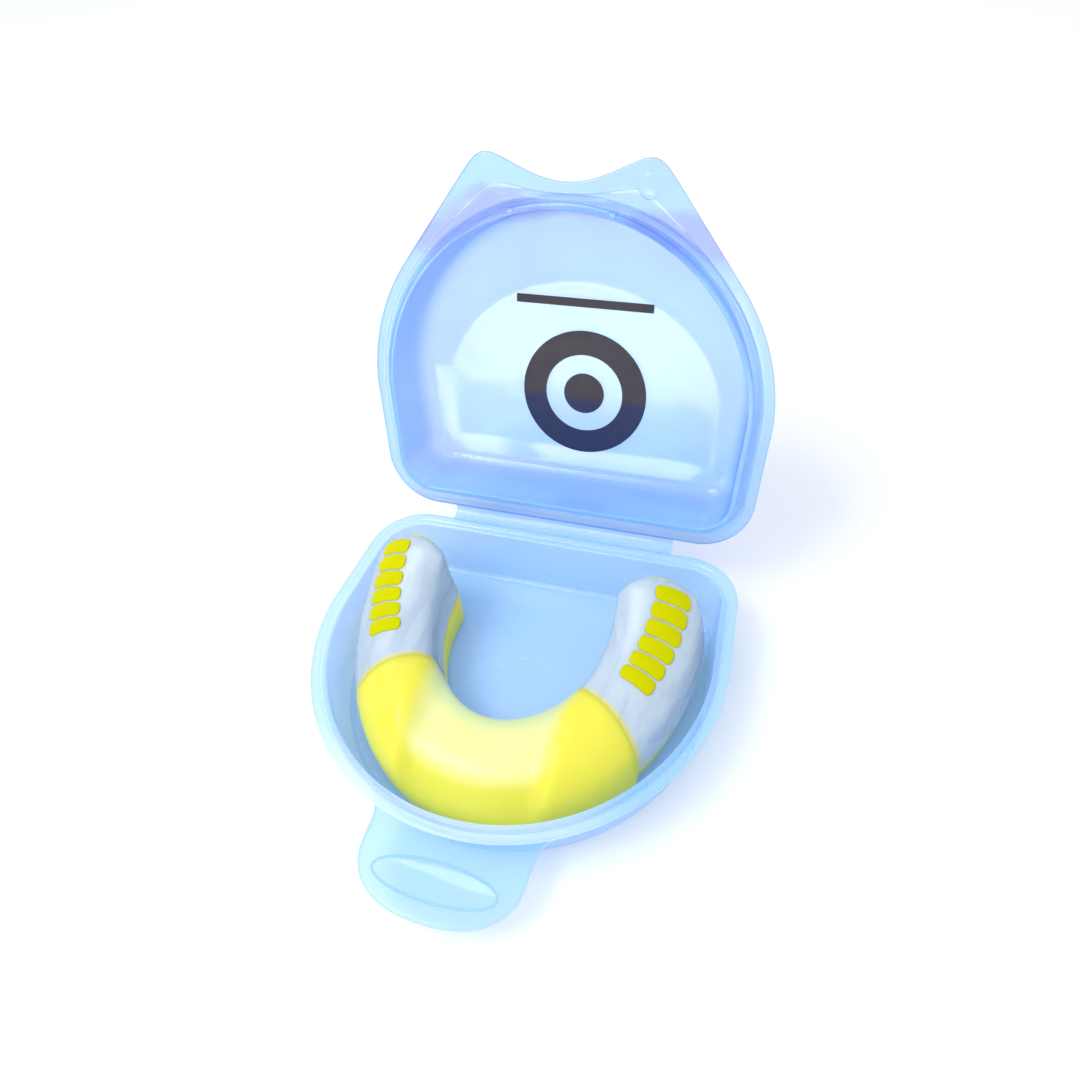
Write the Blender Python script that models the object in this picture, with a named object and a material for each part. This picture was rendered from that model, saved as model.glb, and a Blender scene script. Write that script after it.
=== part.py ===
"""Boxing mouthguard in its clear hinged carry case.

The case is one clear moulding: a tray and a lid joined by a living hinge along the back.
The two-layer guard lies in the tray with its tread up.

Frame: metres, +X along the hinge, +Y towards the hinge, +Z up.
The origin is on the tray's underside, midway between the hinge edge and the front rim.
"""
import math

import bmesh
import bpy
from mathutils import Matrix, Vector

MM = 0.001
GAP = 0.3 * MM

# Case outline: a D with a straight hinge edge, two round back corners and a round front.
FRONT_RADIUS = 40.3 * MM
FRONT_CENTRE_Y = 6.8 * MM
CORNER_RADIUS = 11.0 * MM
CORNER_X = 28.2 * MM
CORNER_Y = 22.5 * MM
FRONT_STEPS = 56
CORNER_STEPS = 8

# Case depths. The lid is drawn closed, above the parting plane.
BASE_DEPTH = 13.5 * MM
LID_DEPTH = 14.0 * MM
WALL = 1.2 * MM
LAND = 0.15 * MM
LIP_DEPTH = 1.6 * MM
HINGE_Y = 35.0 * MM
HINGE_HALF = 23.9 * MM
LID_OPEN_DEG = 109.3

# Two ears stand out of the lid's flange, with a shallow notch between them.
EAR_ANGLE = math.radians(18.9)
EAR_RADIUS = 48.4 * MM
NOTCH_RADIUS = 40.1 * MM
EAR_ROUNDING = 2.0 * MM

# Thumb tab below the tray's front rim, with a lens-shaped dimple.
TAB_TOP = 7.6 * MM
TAB_THICK = 1.6 * MM
TAB_HALF = 14.9 * MM
TAB_SHOULDER_Y = -35.0 * MM
TAB_TIP_Y = -45.8 * MM
TAB_BLUNTNESS = 0.86
TAB_STEPS = 24
TAB_FILLET = 7.0 * MM
TAB_WALL_RADIUS = 37.6 * MM
TAB_ROOT_RADIUS = 36.9 * MM
DIMPLE_Y = -39.3 * MM
DIMPLE_HALF = 10.5 * MM
DIMPLE_DEPTH = 0.8 * MM

# Guard: sections swept round an elliptical arch, widest near its rear ends.
ARCH_A = 25.3 * MM
ARCH_B = 30.5 * MM
ARCH_Y = 12.0 * MM
ARCH_END = math.radians(106.0)
GUARD_FLOOR = 1.6 * MM
RIDGE_HEIGHT = 13.8 * MM
REAR_RISE = 9.9 * MM
FRONT_HEIGHT = 10.7 * MM
CREASE_IN = 11.0 * MM
CREASE_OUT = 15.0 * MM
LAYER = 1.2 * MM
COVER_START = math.radians(51.0)
COVER_END = math.radians(103.5)
COVER_ARC = math.radians(4.5)
COVER_CLEARANCE = math.radians(1.2)
SHOULDER = math.radians(0.5)
END_ROUNDING = 5.0 * MM
FRONT_STATIONS = 26
ARM_STATIONS = 11
COVER_STATIONS = 16
COVER_FIRST = 2

# Six grip rungs on the outer half of each arm.
RUNG_COUNT = 6
RUNG_FIRST = math.radians(98.0)
RUNG_PITCH = math.radians(5.7)
RUNG_HALF_ACROSS = 3.0 * MM
RUNG_HALF_ALONG = 1.05 * MM
RUNG_OFFSET = 3.0 * MM
RUNG_DRIFT = 0.35 * MM
RUNG_CORNER = 0.8 * MM
RUNG_PROUD = 0.3 * MM
SLOT_DEEPER = 1.0 * MM
RUNG_STATIONS = 10


def clear_scene():
    for thing in list(bpy.data.objects):
        bpy.data.objects.remove(thing, do_unlink=True)


def make_collection(name):
    group = bpy.data.collections.new(name)
    bpy.context.scene.collection.children.link(group)
    return group


def make_material(name, colour, roughness, alpha=1.0):
    material = bpy.data.materials.new(name)
    material.use_nodes = True
    shader = material.node_tree.nodes["Principled BSDF"]
    shader.inputs["Base Color"].default_value = (*colour, 1.0)
    shader.inputs["Roughness"].default_value = roughness
    shader.inputs["Metallic"].default_value = 0.0
    shader.inputs["Alpha"].default_value = alpha
    material.diffuse_color = (*colour, alpha)
    return material


def add_object(name, bm, material, group):
    """Turn a closed bmesh into a named object, with its faces pointing out."""
    bmesh.ops.recalc_face_normals(bm, faces=bm.faces)
    mesh = bpy.data.meshes.new(name)
    bm.to_mesh(mesh)
    bm.free()
    mesh.materials.append(material)
    mesh.shade_smooth()
    mesh.set_sharp_from_angle(angle=math.radians(35))
    thing = bpy.data.objects.new(name, mesh)
    group.objects.link(thing)
    return thing


def loft(rings):
    """Skin a list of rings that have the same number of points, and close both ends."""
    bm = bmesh.new()
    rows = [[bm.verts.new(point) for point in ring] for ring in rings]
    for row, following in zip(rows, rows[1:]):
        for i in range(len(row)):
            j = (i + 1) % len(row)
            bm.faces.new((row[i], row[j], following[j], following[i]))
    bm.faces.new(rows[0])
    bm.faces.new(rows[-1])
    return bm


def boolean(thing, cutter, operation):
    modifier = thing.modifiers.new(operation.lower(), "BOOLEAN")
    modifier.operation = operation
    modifier.solver = "EXACT"
    modifier.object = cutter
    cutter.hide_render = True
    cutter.display_type = "WIRE"


# ---------------------------------------------------------------- case

def ear_reach(angle):
    """Radius of the lid's flange at an angle from straight forward."""
    side = abs(angle)
    tangent = EAR_ANGLE + math.acos(FRONT_RADIUS / EAR_RADIUS)
    if side >= tangent:
        return FRONT_RADIUS
    straight = FRONT_RADIUS / math.cos(tangent - side)
    rise = (EAR_RADIUS * math.cos(EAR_ANGLE) - NOTCH_RADIUS) * (side / EAR_ANGLE) ** 2
    notch = (NOTCH_RADIUS + rise) / math.cos(side)
    spread = (notch - straight) / EAR_ROUNDING
    if spread > 30.0:
        return straight
    return notch - EAR_ROUNDING * math.log(1.0 + math.exp(spread))


def case_ring(inset, z, ears=False):
    """One closed ring of the D outline, anticlockwise from above, at a height."""
    points = []
    for i in range(FRONT_STEPS + 1):
        angle = -math.pi / 2 + math.pi * i / FRONT_STEPS
        radius = (ear_reach(angle) if ears else FRONT_RADIUS) - inset
        points.append((radius * math.sin(angle), FRONT_CENTRE_Y - radius * math.cos(angle), z))
    for side in (1, -1):
        for i in range(CORNER_STEPS + 1):
            turn = math.pi / 2 * i / CORNER_STEPS
            angle = turn if side > 0 else math.pi / 2 + turn
            radius = CORNER_RADIUS - inset
            points.append((side * CORNER_X + radius * math.cos(angle),
                           CORNER_Y + radius * math.sin(angle), z))
    return points


def tab_outline(inset=0.0):
    """Tab seen from above: a rounded tongue, filleted to the wall, with its root inside the wall."""
    half = TAB_HALF - inset
    length = TAB_SHOULDER_Y - TAB_TIP_Y - inset
    points = []
    for i in range(TAB_STEPS + 1):
        angle = math.pi * i / TAB_STEPS
        x = math.copysign(abs(math.cos(angle)) ** TAB_BLUNTNESS, math.cos(angle))
        y = math.sin(angle) ** TAB_BLUNTNESS
        points.append((half * x, TAB_SHOULDER_Y - length * y))
    fillet_x = half + TAB_FILLET
    fillet_drop = math.sqrt((TAB_WALL_RADIUS + TAB_FILLET) ** 2 - fillet_x ** 2)
    meeting = math.atan2(fillet_drop, -fillet_x)
    fillet = []
    for i in range(5):
        angle = math.pi + (meeting - math.pi) * i / 4
        fillet.append((fillet_x + TAB_FILLET * math.cos(angle),
                       FRONT_CENTRE_Y - fillet_drop + TAB_FILLET * math.sin(angle)))
    spread = math.atan2(fillet_x, fillet_drop)
    root = []
    for i in range(9):
        angle = -spread + 2 * spread * i / 8
        root.append((TAB_ROOT_RADIUS * math.sin(angle),
                     FRONT_CENTRE_Y - TAB_ROOT_RADIUS * math.cos(angle)))
    return points + [(-x, y) for x, y in fillet] + root + fillet[::-1]


def make_tab(group):
    edge = 0.4 * MM
    levels = [(edge, TAB_TOP - TAB_THICK), (0.0, TAB_TOP - TAB_THICK + edge),
              (0.0, TAB_TOP - edge), (edge, TAB_TOP)]
    rings = [[(x, y, z) for x, y in tab_outline(inset)] for inset, z in levels]
    return add_object("tab_guide", loft(rings), None, group)


def make_dimple(group):
    """A lens: the part of a flat ball that reaches into the tab's top face."""
    bm = bmesh.new()
    bmesh.ops.create_uvsphere(bm, u_segments=32, v_segments=16, radius=1.0)
    size = Vector((DIMPLE_HALF * 1.1, 3.7 * MM, DIMPLE_DEPTH * 2))
    bmesh.ops.scale(bm, vec=size, verts=bm.verts)
    bmesh.ops.translate(bm, vec=(0.0, DIMPLE_Y, TAB_TOP + DIMPLE_DEPTH), verts=bm.verts)
    return add_object("dimple_guide", bm, None, group)


def make_base(material, group, guides):
    rim = BASE_DEPTH - LAND
    rings = [
        case_ring(5.4 * MM, 0.0),
        case_ring(4.2 * MM, 0.3 * MM),
        case_ring(3.5 * MM, 1.2 * MM),
        case_ring(2.0 * MM, rim - 1.6 * MM),
        case_ring(1.8 * MM, rim - 1.2 * MM),
        case_ring(0.2 * MM, rim - 1.1 * MM),
        case_ring(0.0, rim - 0.8 * MM),
        case_ring(0.0, rim - 0.3 * MM),
        case_ring(0.3 * MM, rim),
        case_ring(2.9 * MM, rim),
        case_ring(3.2 * MM, rim - 0.3 * MM),
        case_ring(3.3 * MM, rim - LIP_DEPTH - 0.6 * MM),
        case_ring(4.6 * MM, WALL + 1.0 * MM),
        case_ring(5.6 * MM, WALL),
    ]
    base = add_object("base_shell", loft(rings), material, group)
    boolean(base, make_tab(guides), "UNION")
    boolean(base, make_dimple(guides), "DIFFERENCE")
    return base


def make_lid(material, group, pivot):
    """The lid is drawn closed about the hinge axis, so its own z is 0 on the parting plane."""
    rings = [
        case_ring(10.3 * MM, LID_DEPTH - WALL),
        case_ring(7.9 * MM, LID_DEPTH - WALL - 1.1 * MM),
        case_ring(6.4 * MM, LID_DEPTH - WALL - 2.8 * MM),
        case_ring(5.5 * MM, LID_DEPTH - WALL - 4.8 * MM),
        case_ring(4.6 * MM, 1.2 * MM),
        case_ring(4.6 * MM, -LIP_DEPTH + 0.2 * MM),
        case_ring(4.4 * MM, -LIP_DEPTH),
        case_ring(3.8 * MM, -LIP_DEPTH),
        case_ring(3.6 * MM, -LIP_DEPTH + 0.3 * MM),
        case_ring(3.6 * MM, LAND),
        case_ring(0.3 * MM, LAND, ears=True),
        case_ring(0.0, LAND + 0.3 * MM, ears=True),
        case_ring(0.0, LAND + 0.9 * MM, ears=True),
        case_ring(0.3 * MM, LAND + WALL, ears=True),
        case_ring(2.5 * MM, LAND + WALL),
        case_ring(4.3 * MM, LID_DEPTH - 5.4 * MM),
        case_ring(5.2 * MM, LID_DEPTH - 3.2 * MM),
        case_ring(6.9 * MM, LID_DEPTH - 1.4 * MM),
        case_ring(9.3 * MM, LID_DEPTH - 0.3 * MM),
        case_ring(10.6 * MM, LID_DEPTH),
    ]
    bm = loft(rings)
    bmesh.ops.translate(bm, vec=(0.0, -HINGE_Y, 0.0), verts=bm.verts)
    lid = add_object("lid_shell", bm, material, group)
    lid.parent = pivot
    return lid


def make_hinge_web(material, group):
    """Thin film that joins the two back edges; its section is a short arc behind the axis."""
    opened = Matrix.Rotation(-math.radians(LID_OPEN_DEG), 4, "X")
    reach = 1.15 * MM
    level = 0.75 * MM
    start = Vector((0.0, -reach, -level))
    end = opened @ Vector((0.0, -reach, level))
    bend = Vector((0.0, 1.5 * MM, -1.1 * MM))
    half_film = 0.2 * MM
    steps = 8
    near, far = [], []
    for i in range(steps + 1):
        s = i / steps
        point = start * (1 - s) ** 2 + bend * 2 * s * (1 - s) + end * s ** 2
        along = (bend - start) * (1 - s) + (end - bend) * s
        across = Vector((0.0, -along.z, along.y)).normalized() * half_film
        near.append(point + across)
        far.append(point - across)
    section = near + far[::-1]
    rings = [[(x, p.y + HINGE_Y, p.z + BASE_DEPTH) for p in section]
             for x in (-HINGE_HALF, HINGE_HALF)]
    return add_object("hinge_web", loft(rings), material, group)


# ---------------------------------------------------------------- guard

def guard_height(t):
    """Height of an arm's ridge above the guard's bottom edge, rising towards the rear."""
    share = (1 - math.cos(t)) / (1 - math.cos(ARCH_END))
    return RIDGE_HEIGHT + REAR_RISE * share ** 2.4


def end_taper(t):
    """Scale of a section near the arms' rounded rear ends, as (across, up)."""
    to_end = (ARCH_END - abs(t)) * ARCH_B
    s = min(max(to_end / END_ROUNDING, 0.0), 1.0)
    round_off = math.sqrt(1.0 - (1.0 - s) ** 2)
    return 0.42 + 0.58 * round_off, 0.80 + 0.20 * round_off


def arch_point(t, outward, up):
    """A point of the section at arch angle t."""
    across, rise = end_taper(t)
    outward = outward * across
    normal = Vector((ARCH_B * math.sin(t), -ARCH_A * math.cos(t), 0.0)).normalized()
    centre = Vector((ARCH_A * math.sin(t), ARCH_Y - ARCH_B * math.cos(t), GUARD_FLOOR))
    return centre + normal * outward + Vector((0.0, 0.0, up * rise))


def front_share(t, outward):
    """1 on the low front and 0 on the arms, with the crease running straight back."""
    x = abs(arch_point(t, outward, 0.0).x)
    s = min(max((CREASE_OUT - x) / (CREASE_OUT - CREASE_IN), 0.0), 1.0)
    return s * s * (3 - 2 * s)


def outer_profile(t):
    """Outer skin of a section, as (outward, up) points from the inner foot to the outer foot."""
    h = guard_height(t)
    low = FRONT_HEIGHT
    mm = MM
    arm = [(-8.4 * mm, 0.0), (-8.7 * mm, 0.32 * h), (-7.9 * mm, 0.55 * h),
           (-7.5 * mm, h - 3.4 * mm), (-6.4 * mm, h - 1.5 * mm), (-4.4 * mm, h - 0.4 * mm),
           (-1.8 * mm, h), (0.8 * mm, h - 0.2 * mm), (3.3 * mm, h - 1.15 * mm),
           (5.8 * mm, h - 2.9 * mm), (8.0 * mm, h - 5.5 * mm), (9.1 * mm, 0.35 * h), (9.2 * mm, 0.0)]
    front = [(-8.2 * mm, 0.0), (-8.6 * mm, 0.35 * low), (-8.7 * mm, 0.6 * low),
             (-8.6 * mm, low - 1.6 * mm), (-7.8 * mm, low - 0.4 * mm), (-6.0 * mm, low),
             (-3.0 * mm, low + 0.2 * mm), (0.2 * mm, low + 0.1 * mm), (2.6 * mm, low - 0.5 * mm),
             (4.8 * mm, low - 2.2 * mm), (7.2 * mm, low - 4.8 * mm), (8.9 * mm, 0.3 * low),
             (9.2 * mm, 0.0)]
    points = []
    for (n, z), (front_n, front_z) in zip(arm, front):
        share = front_share(t, n)
        points.append((n + (front_n - n) * share, z + (front_z - z) * share))
    return points


def trough_profile(t):
    """Inner skin that the teeth sit in, from the outer foot back to the inner foot."""
    ridge = guard_height(t)
    h = ridge + (FRONT_HEIGHT - ridge) * front_share(t, 0.0)
    mm = MM
    return [(5.6 * mm, 0.0), (5.3 * mm, 0.35 * h), (3.4 * mm, h - 5.2 * mm),
            (-3.6 * mm, h - 5.0 * mm), (-5.2 * mm, 0.4 * h), (-5.4 * mm, 0.0)]


def offset_profile(points, inset):
    """Move an open profile inwards, keeping its two feet on the ground line."""
    moved = []
    last = len(points) - 1
    for i, (n, z) in enumerate(points):
        before = points[max(i - 1, 0)]
        after = points[min(i + 1, last)]
        run, rise = after[0] - before[0], after[1] - before[1]
        length = math.hypot(run, rise)
        lift = 0.0 if i in (0, last) else -run / length * inset
        moved.append((n + rise / length * inset, z + lift))
    return moved


def profile_at(t, offset, inset):
    """The outer skin's height at an outward offset, on a skin moved in by inset."""
    points = offset_profile(outer_profile(t), inset)
    top = points[3:11]
    for (n0, z0), (n1, z1) in zip(top, top[1:]):
        if n0 <= offset <= n1:
            return z0 + (z1 - z0) * (offset - n0) / (n1 - n0)
    return top[-1][1]


def cover_edge(share):
    """Arch angle where the cover starts, furthest forward at the two feet of the section."""
    return COVER_START + COVER_ARC * math.sin(math.pi * share)


def station_angle(edge, share, under):
    """Arch angle of a core section: on the way to the cover's edge, or on under the cover."""
    if not under:
        return edge * share
    start = edge + SHOULDER
    return start + (ARCH_END - start) * share


def make_core(material, group):
    """Inner layer: full size round the front, one layer smaller under the two covers."""
    half = [(i / FRONT_STATIONS, False) for i in range(FRONT_STATIONS + 1)]
    half += [(i / ARM_STATIONS, True) for i in range(ARM_STATIONS + 1)]
    stations = [(-1, *station) for station in reversed(half[1:])]
    stations += [(1, *station) for station in half]
    outer_count = len(outer_profile(0.0))
    rings = []
    for side, share, under in stations:
        ring = []
        for i in range(outer_count):
            inset = LAYER + GAP if under and i >= COVER_FIRST else 0.0
            t = station_angle(cover_edge(i / (outer_count - 1)), share, under)
            n, z = offset_profile(outer_profile(t), inset)[i]
            ring.append(arch_point(side * t, n, z))
        t = station_angle(COVER_START, share, under)
        ring += [arch_point(side * t, n, z) for n, z in trough_profile(t)]
        rings.append(ring)
    return add_object("guard_core", loft(rings), material, group)


def make_cover(side, material, group, guides):
    """Outer layer over one arm, with a slot for each rung."""
    rings = []
    count = len(outer_profile(0.0))
    for k in range(COVER_STATIONS + 1):
        outside, inside = [], []
        for i in range(COVER_FIRST, count - 1):
            start = cover_edge(i / (count - 1)) + COVER_CLEARANCE
            t = start + (COVER_END - start) * k / COVER_STATIONS
            n, z = outer_profile(t)[i]
            outside.append(arch_point(side * t, n, z))
            n, z = offset_profile(outer_profile(t), LAYER)[i]
            inside.append(arch_point(side * t, n, z))
        rings.append(outside + inside[::-1])
    name = "guard_cover_right" if side > 0 else "guard_cover_left"
    cover = add_object(name, loft(rings), material, group)
    slots = rung_blocks(side, GAP, LAYER + SLOT_DEEPER, -SLOT_DEEPER)
    cutter = add_object(name + "_slots", slots, None, guides)
    boolean(cover, cutter, "DIFFERENCE")
    return cover


def rung_rings(side, index, grow, bottom, top):
    """A bar with round ends across the arm; its floor and top follow the skin."""
    t_mid = RUNG_FIRST - RUNG_PITCH * index
    half_across = RUNG_HALF_ACROSS + grow
    half_along = RUNG_HALF_ALONG + grow
    corner = RUNG_CORNER + grow
    rings = []
    for k in range(RUNG_STATIONS + 1):
        across = -half_across * math.cos(math.pi * k / RUNG_STATIONS)
        into_corner = min(max(abs(across) - (half_across - corner), 0.0), corner * 0.97)
        reach = half_along - corner + math.sqrt(corner ** 2 - into_corner ** 2)
        n = RUNG_OFFSET - RUNG_DRIFT * index + across
        ring = []
        for along, inset in ((-reach, bottom), (reach, bottom), (reach, top), (-reach, top)):
            t = t_mid + along / ARCH_B
            ring.append(arch_point(side * t, n, profile_at(t, n, inset)))
        rings.append(ring)
    return rings


def rung_blocks(side, grow, bottom, top):
    """All the rung blocks of one arm as separate closed bodies in one bmesh."""
    bm = bmesh.new()
    for index in range(RUNG_COUNT):
        single = loft(rung_rings(side, index, grow, bottom, top))
        mesh = bpy.data.meshes.new("slot")
        single.to_mesh(mesh)
        single.free()
        bm.from_mesh(mesh)
        bpy.data.meshes.remove(mesh)
    return bm


def make_rung(side, index, material, group):
    name = f"bite_rung_{'right' if side > 0 else 'left'}_{index + 1}"
    rings = rung_rings(side, index, 0.0, LAYER, -RUNG_PROUD)
    return add_object(name, loft(rings), material, group)


def main():
    clear_scene()
    group = make_collection("mouthguard_with_case")
    guides = make_collection("guides")
    case_plastic = make_material("case_plastic", (0.66, 0.82, 0.98), 0.12, 0.35)
    hinge_film = make_material("hinge_film", (0.60, 0.76, 0.97), 0.2, 0.5)
    core_gel = make_material("core_gel", (0.90, 0.88, 0.12), 0.35)
    cover_gel = make_material("cover_gel", (0.80, 0.84, 0.95), 0.3, 0.8)
    rung_gel = make_material("rung_gel", (0.80, 0.79, 0.0), 0.4)

    pivot = bpy.data.objects.new("lid_pivot", None)
    pivot.location = (0.0, HINGE_Y, BASE_DEPTH)
    pivot.rotation_euler = (-math.radians(LID_OPEN_DEG), 0.0, 0.0)
    group.objects.link(pivot)

    make_base(case_plastic, group, guides)
    make_lid(case_plastic, group, pivot)
    make_hinge_web(hinge_film, group)
    make_core(core_gel, group)
    for side in (-1, 1):
        make_cover(side, cover_gel, group, guides)
        for index in range(RUNG_COUNT):
            make_rung(side, index, rung_gel, group)


main()
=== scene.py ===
"""Looks of the mouthguard with case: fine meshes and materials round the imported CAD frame.

Lengths are in metres in the CAD's frame: +X along the hinge, +Y towards it, +Z up.
"""
import math

import bmesh
import bpy
from mathutils import Matrix, Vector
from mathutils.kdtree import KDTree


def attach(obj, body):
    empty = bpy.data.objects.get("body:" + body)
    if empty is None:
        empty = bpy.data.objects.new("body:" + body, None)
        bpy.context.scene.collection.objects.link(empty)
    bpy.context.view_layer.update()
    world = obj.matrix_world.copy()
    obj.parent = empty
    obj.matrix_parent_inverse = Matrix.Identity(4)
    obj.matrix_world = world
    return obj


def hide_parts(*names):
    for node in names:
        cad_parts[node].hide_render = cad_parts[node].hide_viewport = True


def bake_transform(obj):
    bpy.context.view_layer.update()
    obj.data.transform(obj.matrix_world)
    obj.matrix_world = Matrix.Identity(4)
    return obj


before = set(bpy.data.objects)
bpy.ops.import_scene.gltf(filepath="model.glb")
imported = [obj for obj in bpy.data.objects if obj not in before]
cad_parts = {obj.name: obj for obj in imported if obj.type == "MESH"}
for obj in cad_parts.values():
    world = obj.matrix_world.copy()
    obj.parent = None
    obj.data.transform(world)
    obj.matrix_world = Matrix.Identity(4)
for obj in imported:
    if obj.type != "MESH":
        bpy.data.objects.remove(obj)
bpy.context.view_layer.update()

MM = 0.001

# Case, as in the CAD, with a slightly wider finger dimple.
FRONT_RADIUS = 40.3 * MM
FRONT_CENTRE_Y = 6.8 * MM
CORNER_RADIUS = 11.0 * MM
CORNER_X = 28.2 * MM
CORNER_Y = 22.5 * MM
BASE_DEPTH = 13.5 * MM
LID_DEPTH = 14.0 * MM
WALL = 1.2 * MM
LAND = 0.15 * MM
LIP_DEPTH = 1.6 * MM
HINGE_Y = 35.0 * MM
HINGE_HALF = 23.9 * MM
LID_OPEN_DEG = 109.3
EAR_ANGLE = math.radians(18.9)
EAR_RADIUS = 48.4 * MM
NOTCH_RADIUS = 40.1 * MM
EAR_ROUNDING = 2.0 * MM
TAB_TOP = 7.6 * MM
TAB_THICK = 1.6 * MM
TAB_HALF = 14.9 * MM
TAB_SHOULDER_Y = -35.0 * MM
TAB_TIP_Y = -45.8 * MM
TAB_BLUNTNESS = 0.86
TAB_FILLET = 7.0 * MM
TAB_WALL_RADIUS = 37.6 * MM
TAB_ROOT_RADIUS = 36.9 * MM
TAB_ROOT_LINE = -34.0 * MM
DIMPLE_Y = -39.3 * MM
DIMPLE_HALF = 11.2 * MM
DIMPLE_SHORT = 3.3 * MM
DIMPLE_DEPTH = 0.8 * MM
DIMPLE_BEAD = 0.24 * MM

# Guard, as in the CAD, with covers that thin out and fade towards the front.
ARCH_A = 25.3 * MM
ARCH_B = 30.5 * MM
ARCH_Y = 12.0 * MM
ARCH_END = math.radians(106.0)
GUARD_FLOOR = 1.6 * MM
RIDGE_HEIGHT = 13.8 * MM
REAR_RISE = 9.9 * MM
FRONT_HEIGHT = 10.7 * MM
CREASE_IN = 11.0 * MM
CREASE_OUT = 15.0 * MM
LAYER = 1.2 * MM
COVER_START = math.radians(51.0)
COVER_END = math.radians(103.5)
COVER_ARC = math.radians(4.5)
COVER_CLEARANCE = math.radians(0.04)
COVER_FADE = math.radians(2.6)
COVER_RAMP = math.radians(4.0)
COVER_FEATHER = 0.15 * MM
SHOULDER = math.radians(0.5)
END_ROUNDING = 5.0 * MM
RUNG_COUNT = 6
RUNG_FIRST = math.radians(98.0)
RUNG_PITCH = math.radians(5.7)
RUNG_HALF_ACROSS = 3.2 * MM
RUNG_HALF_ALONG = 1.33 * MM
RUNG_OFFSET = 3.0 * MM
RUNG_DRIFT = 0.35 * MM
RUNG_CORNER = 0.9 * MM
RUNG_PROUD = 0.3 * MM

# Curve steps between two neighbouring points of a guard section.
PER_SPAN = 4

# Camera: where it looks, how far away it stands, and how it is turned.
LOOK_AT = Vector((-5.39, 35.89, 7.59)) * MM
CAMERA_DISTANCE = 186.6 * MM
CAMERA_AZIMUTH = math.radians(24.40)
CAMERA_ELEVATION = math.radians(48.23)
CAMERA_ROLL = math.radians(-9.02)
CAMERA_LENS = 28.33

# Print inside the lid: a ring with a dot, and a bar nearer the front.
PRINT_INK = 0.05 * MM
PRINT_SINK = 0.03 * MM
PRINT_X = 0.9 * MM
RING_Y = 9.2 * MM
RING_OUTER = 13.2 * MM
RING_INNER = 8.2 * MM
DOT_RADIUS = 4.3 * MM
BAR_LEFT = -14.6 * MM
BAR_RIGHT = 13.6 * MM
BAR_FRONT = -10.4 * MM
BAR_BACK = -8.7 * MM

# Lamps: a softbox on the left, and a card that shows only as a reflection on the lid's panel.
SOFTBOX_PLACE = (-0.25, -0.15, 0.55)
SOFTBOX_SIZE = (0.35, 0.25)
SOFTBOX_POWER = 1.7
CARD_PLACE = (-0.132, -0.45, 0.061)
CARD_SIZE = (0.235, 0.094)
CARD_POWER = 0.45
WORLD_COLOUR = (0.93, 0.96, 1.0, 1.0)
WORLD_STRENGTH = 0.97

LID_FRAME = (Matrix.Translation((0.0, HINGE_Y, BASE_DEPTH))
             @ Matrix.Rotation(-math.radians(LID_OPEN_DEG), 4, "X")
             @ Matrix.Translation((0.0, -HINGE_Y, 0.0)))


# ---------------------------------------------------------------- helpers

def new_object(name, bm, material, sharp=32):
    bmesh.ops.recalc_face_normals(bm, faces=bm.faces)
    mesh = bpy.data.meshes.new(name)
    bm.to_mesh(mesh)
    bm.free()
    if material:
        mesh.materials.append(material)
    mesh.shade_smooth()
    mesh.set_sharp_from_angle(angle=math.radians(sharp))
    thing = bpy.data.objects.new(name, mesh)
    bpy.context.scene.collection.objects.link(thing)
    return thing


def loft(rings, cap_start=True, cap_end=True):
    bm = bmesh.new()
    rows = [[bm.verts.new(point) for point in ring] for ring in rings]
    for row, following in zip(rows, rows[1:]):
        for i in range(len(row)):
            j = (i + 1) % len(row)
            bm.faces.new((row[i], row[j], following[j], following[i]))
    if cap_start:
        bm.faces.new(rows[0])
    if cap_end:
        bm.faces.new(rows[-1])
    return bm


def cut(thing, cutter, operation, sharp=32):
    """Boolean with the result applied, and the cutter thrown away."""
    modifier = thing.modifiers.new(operation.lower(), "BOOLEAN")
    modifier.operation = operation
    modifier.solver = "EXACT"
    modifier.object = cutter
    depsgraph = bpy.context.evaluated_depsgraph_get()
    result = bpy.data.meshes.new_from_object(thing.evaluated_get(depsgraph))
    thing.modifiers.clear()
    thing.data = result
    bpy.data.objects.remove(cutter, do_unlink=True)
    result.shade_smooth()
    result.set_sharp_from_angle(angle=math.radians(sharp))


def ease(value, low, high):
    s = min(max((value - low) / (high - low), 0.0), 1.0)
    return s * s * (3 - 2 * s)


def rounded_path(corners, steps=5):
    """Polyline through corners (a, b, radius, ...), each corner eased by its radius."""
    path = [tuple(corners[0][:2]) + tuple(corners[0][3:])]
    for before, here, after in zip(corners, corners[1:], corners[2:]):
        p0, p1, p2 = (Vector(c[:2]) for c in (before, here, after))
        radius = here[2]
        rest = tuple(here[3:])
        if radius <= 0:
            path.append(tuple(p1) + rest)
            continue
        entry = p1 + (p0 - p1).normalized() * min(radius, (p0 - p1).length * 0.5)
        leave = p1 + (p2 - p1).normalized() * min(radius, (p2 - p1).length * 0.5)
        for i in range(steps + 1):
            s = i / steps
            path.append(tuple(entry * (1 - s) ** 2 + p1 * 2 * s * (1 - s) + leave * s ** 2) + rest)
    path.append(tuple(corners[-1][:2]) + tuple(corners[-1][3:]))
    return path


# ---------------------------------------------------------------- case shapes

FRONT_STEPS = 150
CORNER_STEPS = 18
PANEL_STEP = 0.45 * MM
PANEL_HALF = 32.0 * MM
PANEL_Y = 13.0 * MM
PANEL_FRONT = 28.5 * MM
PANEL_BACK = 14.0 * MM
PANEL_FALL = 4.2 * MM


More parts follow.
